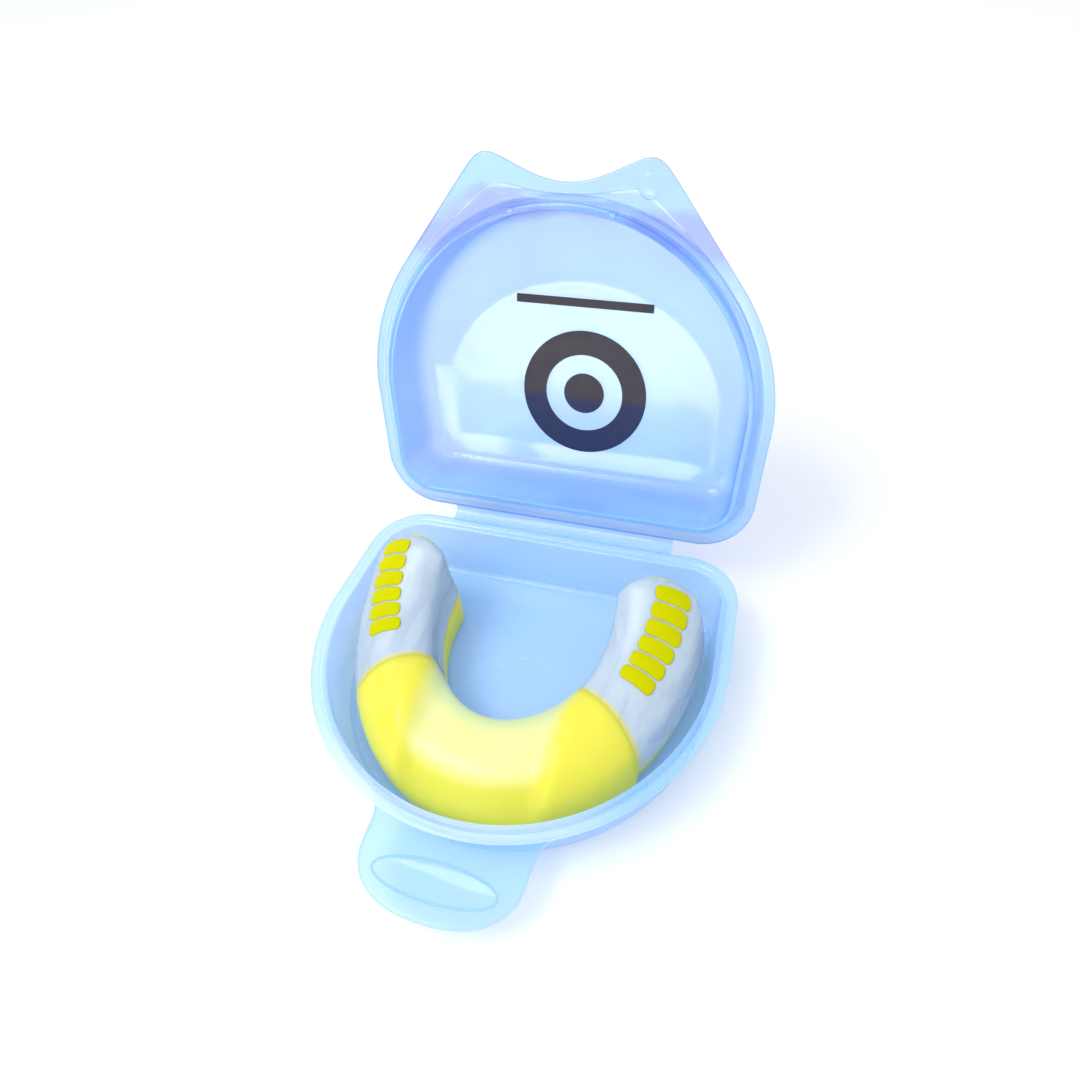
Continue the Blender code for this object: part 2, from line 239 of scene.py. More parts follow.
def ear_reach(angle):
    side = abs(angle)
    tangent = EAR_ANGLE + math.acos(FRONT_RADIUS / EAR_RADIUS)
    if side >= tangent:
        return FRONT_RADIUS
    straight = FRONT_RADIUS / math.cos(tangent - side)
    rise = (EAR_RADIUS * math.cos(EAR_ANGLE) - NOTCH_RADIUS) * (side / EAR_ANGLE) ** 2
    notch = (NOTCH_RADIUS + rise) / math.cos(side)
    spread = (notch - straight) / EAR_ROUNDING
    if spread > 30.0:
        return straight
    return notch - EAR_ROUNDING * math.log(1.0 + math.exp(spread))


def case_ring(inset, z, ears=0.0):
    """One closed ring of the D outline; ears blends in the lid flange's two ears."""
    points = []
    for i in range(FRONT_STEPS + 1):
        angle = -math.pi / 2 + math.pi * i / FRONT_STEPS
        radius = FRONT_RADIUS + ears * (ear_reach(angle) - FRONT_RADIUS) - inset
        points.append(Vector((radius * math.sin(angle),
                              FRONT_CENTRE_Y - radius * math.cos(angle), z)))
    for side in (1, -1):
        for i in range(CORNER_STEPS + 1):
            turn = math.pi / 2 * i / CORNER_STEPS
            angle = turn if side > 0 else math.pi / 2 + turn
            radius = CORNER_RADIUS - inset
            points.append(Vector((side * CORNER_X + radius * math.cos(angle),
                                  CORNER_Y + radius * math.sin(angle), z)))
    return points


def middle_rings(inset, z, count, shape=None):
    """Rings that shrink from an inset ring towards the middle; shape lifts their points."""
    edge = case_ring(inset, z)
    centre = Vector((0.0, 2.0 * MM, z))
    rings = []
    for k in range(count):
        scale = 1.0 - (k + 1) / (count + 0.6)
        ring = [centre + (p - centre) * scale for p in edge]
        if shape:
            ring = [p + Vector((0.0, 0.0, shape(p.x, p.y))) for p in ring]
        rings.append(ring)
    return rings


def profile_rings(path, shape=None):
    rings = []
    for inset, z, ears in path:
        ring = case_ring(inset, z, ears)
        if shape:
            ring = [p + Vector((0.0, 0.0, shape(p.x, p.y) * lift_share(z))) for p in ring]
        rings.append(ring)
    return rings


def tab_outline(inset=0.0):
    half = TAB_HALF - inset
    length = TAB_SHOULDER_Y - TAB_TIP_Y - inset
    points = []
    steps = 64
    for i in range(steps + 1):
        angle = math.pi * i / steps
        x = math.copysign(abs(math.cos(angle)) ** TAB_BLUNTNESS, math.cos(angle))
        y = math.sin(angle) ** TAB_BLUNTNESS
        points.append((half * x, TAB_SHOULDER_Y - length * y))
    fillet_x = half + TAB_FILLET
    fillet_drop = math.sqrt((TAB_WALL_RADIUS + TAB_FILLET) ** 2 - fillet_x ** 2)
    meeting = math.atan2(fillet_drop, -fillet_x)
    fillet = []
    for i in range(9):
        angle = math.pi + (meeting - math.pi) * i / 8
        fillet.append((fillet_x + TAB_FILLET * math.cos(angle),
                       FRONT_CENTRE_Y - fillet_drop + TAB_FILLET * math.sin(angle)))
    spread = math.atan2(fillet_x, fillet_drop)
    root = []
    for i in range(17):
        angle = -spread + 2 * spread * i / 16
        root.append((TAB_ROOT_RADIUS * math.sin(angle),
                     FRONT_CENTRE_Y - TAB_ROOT_RADIUS * math.cos(angle)))
    return points + [(-x, y) for x, y in fillet] + root + fillet[::-1]


def make_tab():
    edge = 0.5 * MM
    rings = []
    for i in range(5):
        turn = math.pi / 2 * i / 4
        inset = edge * (1 - math.sin(turn))
        rings.append([(x, y, TAB_TOP - TAB_THICK + edge * (1 - math.cos(turn)))
                      for x, y in tab_outline(inset)])
    for i in range(5):
        turn = math.pi / 2 * i / 4
        inset = edge * (1 - math.cos(turn))
        rings.append([(x, y, TAB_TOP - edge * (1 - math.sin(turn))) for x, y in tab_outline(inset)])
    return new_object("tab_cutter", loft(rings), None)


def make_dimple():
    """A flat ball, centred one depth above the tab's top and two depths tall."""
    bm = bmesh.new()
    bmesh.ops.create_uvsphere(bm, u_segments=96, v_segments=48, radius=1.0)
    at_surface = 0.866
    size = Vector((DIMPLE_HALF / at_surface, DIMPLE_SHORT / at_surface, DIMPLE_DEPTH * 2))
    bmesh.ops.scale(bm, vec=size, verts=bm.verts)
    bmesh.ops.translate(bm, vec=(0.0, DIMPLE_Y, TAB_TOP + DIMPLE_DEPTH), verts=bm.verts)
    return new_object("dimple_cutter", bm, None)


def sharpen_dimple(tray):
    """Keep the flat top of the tab flat-shaded up to the rim of the finger dimple."""
    bm = bmesh.new()
    bm.from_mesh(tray.data)
    for edge in bm.edges:
        on_top = all(abs(vertex.co.z - TAB_TOP) < 0.01 * MM and vertex.co.y < TAB_ROOT_LINE
                     for vertex in edge.verts)
        if on_top and len(edge.link_faces) == 2 and edge.calc_face_angle() > math.radians(2.0):
            edge.smooth = False
    bm.to_mesh(tray.data)
    bm.free()


def make_dimple_rim(material):
    """A fine raised bead round the finger dimple."""
    steps = 96
    turns = 10
    rise = Vector((0.0, 0.0, 1.0))
    rings = []
    for i in range(steps):
        along, across = math.cos(math.tau * i / steps), math.sin(math.tau * i / steps)
        centre = Vector((DIMPLE_HALF * along, DIMPLE_Y + DIMPLE_SHORT * across, TAB_TOP))
        out = Vector((along / DIMPLE_HALF, across / DIMPLE_SHORT, 0.0)).normalized()
        angles = [math.tau * j / turns for j in range(turns)]
        rings.append([centre + DIMPLE_BEAD * (out * math.cos(angle) + rise * math.sin(angle))
                      for angle in angles])
    bm = loft(rings + rings[:1], cap_start=False, cap_end=False)
    bmesh.ops.remove_doubles(bm, verts=bm.verts, dist=1e-7)
    return new_object("dimple_rim", bm, material)


def make_tray(material):
    rim = BASE_DEPTH - LAND
    path = rounded_path([
        (10.0 * MM, WALL, 0.0, 0.0),
        (4.7 * MM, WALL, 1.3 * MM, 0.0),
        (3.25 * MM, rim - 2.2 * MM, 0.8 * MM, 0.0),
        (3.1 * MM, rim, 0.35 * MM, 0.0),
        (2.2 * MM, rim, 0.2 * MM, 0.0),
        (1.85 * MM, rim - 0.3 * MM, 0.2 * MM, 0.0),
        (1.5 * MM, rim, 0.2 * MM, 0.0),
        (0.0, rim, 0.4 * MM, 0.0),
        (0.0, rim - 1.1 * MM, 0.4 * MM, 0.0),
        (2.0 * MM, rim - 1.2 * MM, 0.6 * MM, 0.0),
        (3.5 * MM, 0.0, 1.5 * MM, 0.0),
        (10.0 * MM, 0.0, 0.0, 0.0),
    ])
    rings = middle_rings(10.0 * MM, WALL, 6)[::-1] + profile_rings(path)
    rings += middle_rings(10.0 * MM, 0.0, 6)
    tray = new_object("tray_shell", loft(rings), material)
    cut(tray, make_tab(), "UNION")
    cut(tray, make_dimple(), "DIFFERENCE")
    sharpen_dimple(tray)
    return tray


def lift_share(z):
    """0 at the lid's rim and 1 on its panel, so that the panel's shape fades out down the wall."""
    return min(max((z - 0.6 * LID_DEPTH) / (0.25 * LID_DEPTH), 0.0), 1.0)


def lid_panel(x, y):
    """Height of the lid's raised panel: a soft step round its outline, then a gentle fall."""
    across = x / PANEL_HALF
    along = (PANEL_Y - y) / PANEL_FRONT if y < PANEL_Y else (y - PANEL_Y) / PANEL_BACK
    power = 2.0 if y < PANEL_Y else 4.0
    reach = (abs(across) ** power + abs(along) ** power) ** (1.0 / power)
    fall = PANEL_FALL * max(reach - 1.0, 0.0) if y < PANEL_Y else 0.0
    return PANEL_STEP * (1.0 - ease(reach, 0.94, 1.0)) - fall


def make_lid(material):
    top = LID_DEPTH - 0.5 * MM
    path = rounded_path([
        (10.6 * MM, top - WALL, 0.0, 0.0),
        (5.3 * MM, top - WALL, 4.6 * MM, 0.0),
        (4.6 * MM, 1.2 * MM, 0.4 * MM, 0.0),
        (4.6 * MM, -LIP_DEPTH, 0.3 * MM, 0.0),
        (3.6 * MM, -LIP_DEPTH, 0.3 * MM, 0.0),
        (3.6 * MM, LAND, 0.2 * MM, 0.0),
        (2.9 * MM, LAND, 0.2 * MM, 0.2),
        (2.6 * MM, LAND + 0.3 * MM, 0.15 * MM, 0.3),
        (2.2 * MM, LAND + 0.3 * MM, 0.15 * MM, 0.4),
        (1.9 * MM, LAND, 0.2 * MM, 0.5),
        (0.9 * MM, LAND, 0.2 * MM, 0.8),
        (0.0, LAND, 0.4 * MM, 1.0),
        (0.0, LAND + WALL, 0.5 * MM, 1.0),
        (0.9 * MM, LAND + WALL, 0.0, 0.7),
        (2.4 * MM, LAND + WALL, 0.7 * MM, 0.0),
        (4.1 * MM, top, 5.4 * MM, 0.0),
        (10.6 * MM, top, 0.0, 0.0),
    ], steps=8)
    rings = middle_rings(10.6 * MM, top - WALL, 26, lid_panel)[::-1]
    rings += profile_rings(path, lid_panel)
    rings += middle_rings(10.6 * MM, top, 26, lid_panel)
    lid = new_object("lid_dome", loft(rings), material)
    cut(lid, make_catch(), "UNION")
    cut(lid, make_ejector_mark(), "UNION")
    lid.data.transform(LID_FRAME)
    return lid


def make_catch():
    """A low ridge on the front of the lid's lip, with a small hook at each end."""
    rings = []
    steps = 40
    for k in range(steps + 1):
        angle = math.radians(-16.0 + 31.0 * k / steps)
        hook = 1.0 if k in (0, 1, 2, steps - 2, steps - 1, steps) else 0.0
        section = [(36.3, -1.45 - 0.5 * hook), (36.9, -1.5 - 0.5 * hook),
                   (37.05, -1.2), (37.05, -0.7), (36.9, -0.3), (36.3, -0.3)]
        rings.append([(r * MM * math.sin(angle), FRONT_CENTRE_Y - r * MM * math.cos(angle), z * MM)
                      for r, z in section])
    return new_object("catch", loft(rings), None)


def make_ejector_mark():
    bm = bmesh.new()
    bmesh.ops.create_uvsphere(bm, u_segments=48, v_segments=24, radius=1.0)
    bmesh.ops.scale(bm, vec=Vector((2.2, 2.2, 0.45)) * MM, verts=bm.verts)
    bmesh.ops.translate(bm, vec=Vector((15.0, -33.3, 0.25)) * MM, verts=bm.verts)
    return new_object("ejector_mark", bm, None)


def make_hinge(material):
    opened = Matrix.Rotation(-math.radians(LID_OPEN_DEG), 4, "X")
    reach = 1.45 * MM
    level = 0.75 * MM
    start = Vector((0.0, -reach, -level))
    end = opened @ Vector((0.0, -reach, level))
    bend = Vector((0.0, 1.5 * MM, -1.1 * MM))
    half_film = 0.2 * MM
    near, far = [], []
    for i in range(25):
        s = i / 24
        point = start * (1 - s) ** 2 + bend * 2 * s * (1 - s) + end * s ** 2
        along = (bend - start) * (1 - s) + (end - bend) * s
        across = Vector((0.0, -along.z, along.y)).normalized()
        groove = 1.0 - 0.45 * math.exp(-((s - 0.5) / 0.10) ** 2)
        near.append(point + across * half_film * groove)
        far.append(point - across * half_film * groove)
    section = near + far[::-1]
    rings = [[(x, p.y + HINGE_Y, p.z + BASE_DEPTH) for p in section]
             for x in [HINGE_HALF * (k / 12 - 1) for k in range(25)]]
    return new_object("hinge_film", loft(rings), material)


def flat_ring(outline, hole, thickness):
    """A thin flat plate between an outline and a hole; both are lists of (x, y)."""
    rings = [[(x, y, z) for x, y in path] for path, z in
             ((outline, 0.0), (outline, thickness), (hole, thickness), (hole, 0.0), (outline, 0.0))]
    bm = loft(rings, cap_start=False, cap_end=False)
    bmesh.ops.remove_doubles(bm, verts=bm.verts, dist=1e-7)
    return bm


def circle(radius, centre_y, steps=96):
    angles = [math.tau * i / steps for i in range(steps)]
    return [(radius * math.cos(angle), centre_y + radius * math.sin(angle)) for angle in angles]


def flat_plate(outline, thickness):
    return loft([[(x, y, z) for x, y in outline] for z in (0.0, thickness)])


def make_print(material):
    """A plain roundel and a plain bar, printed inside the lid."""
    level = LID_DEPTH - 0.5 * MM - WALL + PANEL_STEP - PRINT_INK - PRINT_SINK
    ring = flat_ring(circle(RING_OUTER, RING_Y), circle(RING_INNER, RING_Y), PRINT_INK)
    disc = flat_plate(circle(DOT_RADIUS, RING_Y), PRINT_INK)
    bar = flat_plate([(BAR_LEFT, BAR_FRONT), (BAR_RIGHT, BAR_FRONT),
                      (BAR_RIGHT, BAR_BACK), (BAR_LEFT, BAR_BACK)], PRINT_INK)
    for bm, name in ((ring, "print_ring"), (disc, "print_disc"), (bar, "print_bar")):
        bmesh.ops.translate(bm, vec=(PRINT_X, 0.0, level), verts=bm.verts)
        bmesh.ops.transform(bm, matrix=LID_FRAME, verts=bm.verts)
        piece = new_object(name, bm, material)
        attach(piece, "lid")


# ---------------------------------------------------------------- guard shapes

def guard_height(t):
    """Height of an arm's ridge at arch angle t, rising towards the rear."""
    share = (1 - math.cos(t)) / (1 - math.cos(ARCH_END))
    return RIDGE_HEIGHT + REAR_RISE * share ** 2.4


def end_taper(t):
    """Scale of a section near an arm's rounded rear end, as (across, up)."""
    s = min(max((ARCH_END - abs(t)) * ARCH_B / END_ROUNDING, 0.0), 1.0)
    round_off = math.sqrt(1.0 - (1.0 - s) ** 2)
    return 0.42 + 0.58 * round_off, 0.80 + 0.20 * round_off


def arch_point(t, outward, up):
    """The point of the section at arch angle t that lies outward and up from its foot line."""
    across, rise = end_taper(t)
    normal = Vector((ARCH_B * math.sin(t), -ARCH_A * math.cos(t), 0.0)).normalized()
    centre = Vector((ARCH_A * math.sin(t), ARCH_Y - ARCH_B * math.cos(t), GUARD_FLOOR))
    return centre + normal * outward * across + Vector((0.0, 0.0, up * rise))


def front_share(t, outward):
    """1 on the low front and 0 on the arms, with the crease running straight back."""
    return 1.0 - ease(abs(arch_point(t, outward, 0.0).x), CREASE_IN, CREASE_OUT)


def outer_profile(t):
    """Outer skin of a section, as (outward, up) points from the inner foot to the outer foot."""
    h = guard_height(t)
    low = FRONT_HEIGHT
    mm = MM
    arm = [(-8.4 * mm, 0.0), (-8.7 * mm, 0.32 * h), (-7.9 * mm, 0.55 * h),
           (-7.5 * mm, h - 3.4 * mm), (-6.4 * mm, h - 1.5 * mm), (-4.4 * mm, h - 0.4 * mm),
           (-1.8 * mm, h), (0.8 * mm, h - 0.2 * mm), (3.3 * mm, h - 1.15 * mm),
           (5.8 * mm, h - 2.9 * mm), (8.0 * mm, h - 5.5 * mm), (9.1 * mm, 0.35 * h), (9.2 * mm, 0.0)]
    front = [(-8.2 * mm, 0.0), (-8.6 * mm, 0.35 * low), (-8.7 * mm, 0.6 * low),
             (-8.6 * mm, low - 1.6 * mm), (-7.8 * mm, low - 0.4 * mm), (-6.0 * mm, low),
             (-3.0 * mm, low + 0.2 * mm), (0.2 * mm, low + 0.1 * mm), (2.6 * mm, low - 0.5 * mm),
             (4.8 * mm, low - 2.2 * mm), (7.2 * mm, low - 4.8 * mm), (8.9 * mm, 0.3 * low),
             (9.2 * mm, 0.0)]
    points = []
    for (n, z), (front_n, front_z) in zip(arm, front):
        share = front_share(t, n)
        points.append((n + (front_n - n) * share, z + (front_z - z) * share))
    return points


def trough_profile(t):
    ridge = guard_height(t)
    h = ridge + (FRONT_HEIGHT - ridge) * front_share(t, 0.0)
    mm = MM
    return [(5.6 * mm, 0.0), (5.3 * mm, 0.35 * h), (3.4 * mm, h - 5.2 * mm),
            (-3.6 * mm, h - 5.0 * mm), (-5.2 * mm, 0.4 * h), (-5.4 * mm, 0.0)]


def smooth_curve(points, per_span):
    """Catmull-Rom through the points, so the profile has no corners."""
    fine = []
    last = len(points) - 1
    for i in range(last):
        p0 = Vector(points[max(i - 1, 0)])
        p1, p2 = Vector(points[i]), Vector(points[i + 1])
        p3 = Vector(points[min(i + 2, last)])
        for k in range(per_span):
            s = k / per_span
            fine.append(0.5 * (2 * p1 + (p2 - p0) * s + (2 * p0 - 5 * p1 + 4 * p2 - p3) * s ** 2
                               + (3 * p1 - p0 - 3 * p2 + p3) * s ** 3))
    fine.append(Vector(points[last]))
    return [tuple(p) for p in fine]


def offset_profile(points, inset):
    moved = []
    last = len(points) - 1
    for i, (n, z) in enumerate(points):
        before, after = points[max(i - 1, 0)], points[min(i + 1, last)]
        run, rise = after[0] - before[0], after[1] - before[1]
        length = math.hypot(run, rise)
        lift = 0.0 if i in (0, last) else -run / length * inset
        moved.append((n + rise / length * inset, z + lift))
    return moved


def skin(t, inset):
    return offset_profile(smooth_curve(outer_profile(t), PER_SPAN), inset)


def profile_at(t, offset, inset):
    points = skin(t, inset)
    top = points[3 * PER_SPAN:10 * PER_SPAN + 1]
    for (n0, z0), (n1, z1) in zip(top, top[1:]):
        if n0 <= offset <= n1:
            return z0 + (z1 - z0) * (offset - n0) / (n1 - n0)
    return top[-1][1]


def cover_edge(share):
    """Arch angle where the cover starts, furthest back at the middle of the section."""
    return COVER_START + COVER_ARC * math.sin(math.pi * share)


SKIN_COUNT = 12 * PER_SPAN + 1
COVER_FIRST = int(1.25 * PER_SPAN)
COVER_LAST = SKIN_COUNT - 1 - PER_SPAN


def station_angle(edge, share, under):
    """Angle of a core station: up to the cover's edge, or on from a small shoulder under it."""
    if not under:
        return edge * share
    start = edge + SHOULDER
    return start + (ARCH_END - start) * share


def skin_share(i):
    return i / (SKIN_COUNT - 1)


def cover_thickness(t, start):
    """The cover thins to a feather edge towards the front."""
    return COVER_FEATHER + (LAYER - COVER_FEATHER) * ease(abs(t), start, start + COVER_RAMP)


def core_inset(i, t, start):
    """Depth the core gives up to the cover: none on the inner side and rear rim."""
    side = ease(i, COVER_FIRST - 1.2, COVER_FIRST - 0.2)
    rear = 1.0 - ease(abs(t), COVER_END + 0.2 * SHOULDER, COVER_END + 2.2 * SHOULDER)
    return (cover_thickness(t, start) + 0.1 * MM) * side * rear


def make_core(material):
    """The yellow layer, with point values for where it is thin and pale, with a painted highlight
    along the front's outer top, and where it faces the tongue.
    """
    front_stations = 64
    arm_stations = 60
    half = [(i / front_stations, False) for i in range(front_stations + 1)]
    half += [(i / arm_stations, True) for i in range(arm_stations + 1)]
    stations = [(-1, *station) for station in reversed(half[1:])]
    stations += [(1, *station) for station in half]
    rings = []
    thin_and_highlight = []
    inner = []
    for side, share, under in stations:
        ring = []
        for i in range(SKIN_COUNT):
            edge = cover_edge(skin_share(i))
            t = station_angle(edge, share, under)
            inset = core_inset(i, t, edge) if under else 0.0
            n, z = skin(t, inset)[i]
            ring.append(arch_point(side * t, n, z))
            # Pale where the front's gel is thin, carried out over the front's outer top edge as a
            # painted highlight band.
            thin_and_highlight.append(front_share(t, n) * (1.0 - ease(n, 2.6 * MM, 5.4 * MM)))
            inner.append(front_share(t, n) * (1.0 - ease(n, -8.6 * MM, -3.5 * MM)))
        t = station_angle(COVER_START, share, under)
        trough = smooth_curve(trough_profile(t), PER_SPAN)
        ring += [arch_point(side * t, n, z) for n, z in trough]
        thin_and_highlight += [0.0] * len(trough)
        inner += [0.0] * len(trough)
        rings.append(ring)
    core = new_object("gel_core", loft(rings), material, sharp=50)
    for name, numbers in (("thin_and_highlight", thin_and_highlight), ("inner", inner)):
        core.data.attributes.new(name, "FLOAT", "POINT").data.foreach_set("value", numbers)
    return core


def make_cover(side, name, material):
    """One arm's milky layer with its slots, and a point value that fades in from the front."""
    stations = 60
    rings = []
    shares = []
    for k in range(stations + 1):
        outside, inside = [], []
        for i in range(COVER_FIRST, COVER_LAST + 1):
            start = cover_edge(skin_share(i)) + COVER_CLEARANCE
            t = start + (COVER_END - start) * k / stations
            n, z = skin(t, 0.0)[i]
            outside.append(arch_point(side * t, n, z))
            n, z = skin(t, cover_thickness(t, start))[i]
            inside.append(arch_point(side * t, n, z))
        rings.append(outside + inside[::-1])
        share = ease((COVER_END - COVER_START) * k / stations, 0.0, COVER_FADE)
        shares += [share] * len(rings[-1])
    nearest = KDTree(len(shares))
    for index, point in enumerate(point for ring in rings for point in ring):
        nearest.insert(point, index)
    nearest.balance()
    cover = new_object(name, loft(rings), material, sharp=45)
    cut(cover, rung_blocks(side, 0.04 * MM, LAYER + 0.9 * MM, -1.2 * MM), "DIFFERENCE", sharp=45)
    fade = [shares[nearest.find(vertex.co)[1]] for vertex in cover.data.vertices]
    cover.data.attributes.new("fade", "FLOAT", "POINT").data.foreach_set("value", fade)
    return cover


def rung_rings(side, index, grow, bottom, top):
    """Rings across one rung, or across its slot when grown; bottom and top are skin depths."""
    t_mid = RUNG_FIRST - RUNG_PITCH * index
    half_across = RUNG_HALF_ACROSS + grow
    half_along = RUNG_HALF_ALONG + grow
    corner = RUNG_CORNER + grow
    stations = 24
    edge = 0.25 * MM if grow < 0.01 * MM else 0.0
    rings = []
    for k in range(stations + 1):
        across = -half_across * math.cos(math.pi * k / stations)
        into_corner = min(max(abs(across) - (half_across - corner), 0.0), corner * 0.985)
        reach = half_along - corner + math.sqrt(corner ** 2 - into_corner ** 2)
        n = RUNG_OFFSET - RUNG_DRIFT * index + across
        outline = [(-reach, bottom), (reach, bottom), (reach, top + edge)]
        for i in range(1, 8):
            turn = math.pi / 2 - math.pi * i / 8
            outline.append((reach * math.sin(turn) * (1 - 0.1 * math.cos(turn)),
                            top + edge * (1 - math.cos(turn))))
        outline.append((-reach, top + edge))
        ring = []
        for along, inset in outline:
            t = t_mid + along / ARCH_B
            ring.append(arch_point(side * t, n, profile_at(t, n, inset)))
        rings.append(ring)
    return rings


def rung_blocks(side, grow, bottom, top):
    bm = bmesh.new()
    for index in range(RUNG_COUNT):
        single = loft(rung_rings(side, index, grow, bottom, top))
        mesh = bpy.data.meshes.new("slot")
        single.to_mesh(mesh)
        single.free()
        bm.from_mesh(mesh)
        bpy.data.meshes.remove(mesh)
    return new_object("slot_cutter", bm, None)


# ---------------------------------------------------------------- materials

def principled(name):
    material = bpy.data.materials.new(name)
    material.use_nodes = True
    return material, material.node_tree, material.node_tree.nodes["Principled BSDF"]


def node(tree, kind, **inputs):
    """Add a node; inputs name its sockets, with underscores for spaces."""
    made = tree.nodes.new(kind)
    for name, value in inputs.items():
        socket = made.inputs[name.replace("_", " ")]
        if isinstance(value, bpy.types.NodeSocket):
            tree.links.new(value, socket)
        else:
            socket.default_value = value
    return made


def noise(tree, scale, detail=3.0, stretch=(1.0, 1.0, 1.0)):
    place = tree.nodes.new("ShaderNodeTexCoord")
    scaled = node(tree, "ShaderNodeMapping", Vector=place.outputs["Object"], Scale=stretch)
    return node(tree, "ShaderNodeTexNoise", Vector=scaled.outputs["Vector"], Scale=scale,
                Detail=detail).outputs["Fac"]


def spread(tree, value, low, high, to_low, to_high):
    return node(tree, "ShaderNodeMapRange", Value=value, From_Min=low, From_Max=high,
                To_Min=to_low, To_Max=to_high).outputs["Result"]


def mix_colour(tree, share, first, second):
    made = tree.nodes.new("ShaderNodeMix")
    made.data_type = "RGBA"
    for value, index in ((share, 0), (first, 6), (second, 7)):
        if isinstance(value, bpy.types.NodeSocket):
            tree.links.new(value, made.inputs[index])
        else:
            made.inputs[index].default_value = value
    return made.outputs[2]


def bump(tree, shader, height, strength, distance):
    made = node(tree, "ShaderNodeBump", Height=height, Strength=strength, Distance=distance)
    tree.links.new(made.outputs["Normal"], shader.inputs["Normal"])


def band_share(tree, along, start, full, fade, gone, strength):
    """A soft band along one axis: in from start to full, out again from fade to gone."""
    rising = spread(tree, along, start, full, 0.0, strength)
    falling = spread(tree, along, fade, gone, strength, 0.0)
    share = node(tree, "ShaderNodeMath", Value=rising)
    share.operation = "MINIMUM"
    tree.links.new(falling, share.inputs[1])
    return share.outputs["Value"]


def clear_plastic(name, face, edge, rim, clear, grazing, painted_glow):
    """Thin moulded plastic: see-through head on, bluer and denser where seen edge on.

    The axes, the colour and the slow noise are handed back, for tints that vary by place.
    """
    material, tree, shader = principled(name)
    facing = node(tree, "ShaderNodeLayerWeight", Blend=0.45).outputs["Facing"]
    flow = noise(tree, 55.0, 2.0)
    tint = mix_colour(tree, spread(tree, flow, 0.35, 0.65, 0.0, 0.4), face, edge)
    slanted = mix_colour(tree, spread(tree, facing, 0.15, 0.7, 0.0, 1.0), tint, edge)
    steep = mix_colour(tree, spread(tree, facing, 0.66, 0.96, 0.0, 1.0), slanted, rim)
    tree.links.new(spread(tree, facing, 0.1, 0.95, clear, grazing), shader.inputs["Alpha"])
    rough = spread(tree, noise(tree, 900.0, 4.0), 0.3, 0.7, 0.05, 0.14)
    tree.links.new(rough, shader.inputs["Roughness"])
    shader.inputs["IOR"].default_value = 1.7
    # Painted glow: a weak blue emission lifts the shade inside the case, standing in for light
    # scattered through the plastic.
    shader.inputs["Emission Color"].default_value = (0.25, 0.50, 1.0, 1.0)
    shader.inputs["Emission Strength"].default_value = painted_glow
    bump(tree, shader, flow, 0.25, 0.0006)
    place = tree.nodes.new("ShaderNodeTexCoord")
    axes = node(tree, "ShaderNodeSeparateXYZ", Vector=place.outputs["Object"])
    return material, tree, shader, axes, steep, flow


def tray_plastic():
    """The tray's plastic, with a painted highlight: whiter along the front wall above the tab."""
    material, tree, shader, axes, colour, _ = clear_plastic(
        "tray_plastic", (0.27, 0.62, 1.0, 1.0), (0.40, 0.63, 1.0, 1.0), (0.10, 0.24, 0.80, 1.0),
        0.34, 0.80, 0.18)
    # Painted highlight: the front wall above the tab is mixed towards white, for light catching the
    # front rim.
    front = spread(tree, axes.outputs["Y"], -19.0 * MM, -31.0 * MM, 0.0, 0.65)
    share = node(tree, "ShaderNodeMath", Value=front)
    share.operation = "MULTIPLY"
    above = spread(tree, axes.outputs["Z"], TAB_TOP + 0.5 * MM, TAB_TOP + 2.5 * MM, 0.0, 1.0)
    tree.links.new(above, share.inputs[1])
    front_highlight = mix_colour(tree, share.outputs["Value"], colour, (0.90, 0.96, 1.0, 1.0))
    tree.links.new(front_highlight, shader.inputs["Base Color"])
    return material


def lid_plastic():
    """The lid's plastic, with painted shade: a deeper blue along its hinge lip and in an arc round
    the front of the dome.
    """
    material, tree, shader, axes, colour, flow = clear_plastic(
        "lid_plastic", (0.21, 0.60, 1.0, 1.0), (0.15, 0.36, 0.98, 1.0), (0.03, 0.08, 0.48, 1.0),
        0.41, 0.90, 0.13)
    # Painted shade: a deeper blue band along the hinge-side lip, for the shadow in the rim's gap.
    lip = band_share(tree, axes.outputs["Z"], 13.0 * MM, 13.5 * MM, 14.5 * MM, 18.5 * MM, 0.6)
    lip_shaded = mix_colour(tree, lip, colour, (0.04, 0.12, 0.45, 1.0))
    # Painted shade: a darker, wavy blue arc round the front of the dome.
    wavy = node(tree, "ShaderNodeMath", Value=axes.outputs["Z"])
    wavy.operation = "ADD"
    tree.links.new(spread(tree, flow, 0.3, 0.7, -3.0 * MM, 3.0 * MM), wavy.inputs[1])
    arc = band_share(tree, wavy.outputs["Value"], 66.0 * MM, 68.5 * MM, 73.0 * MM, 75.0 * MM, 0.75)
    arc_shaded = mix_colour(tree, arc, lip_shaded, (0.04, 0.10, 0.60, 1.0))
    tree.links.new(arc_shaded, shader.inputs["Base Color"])
    return material


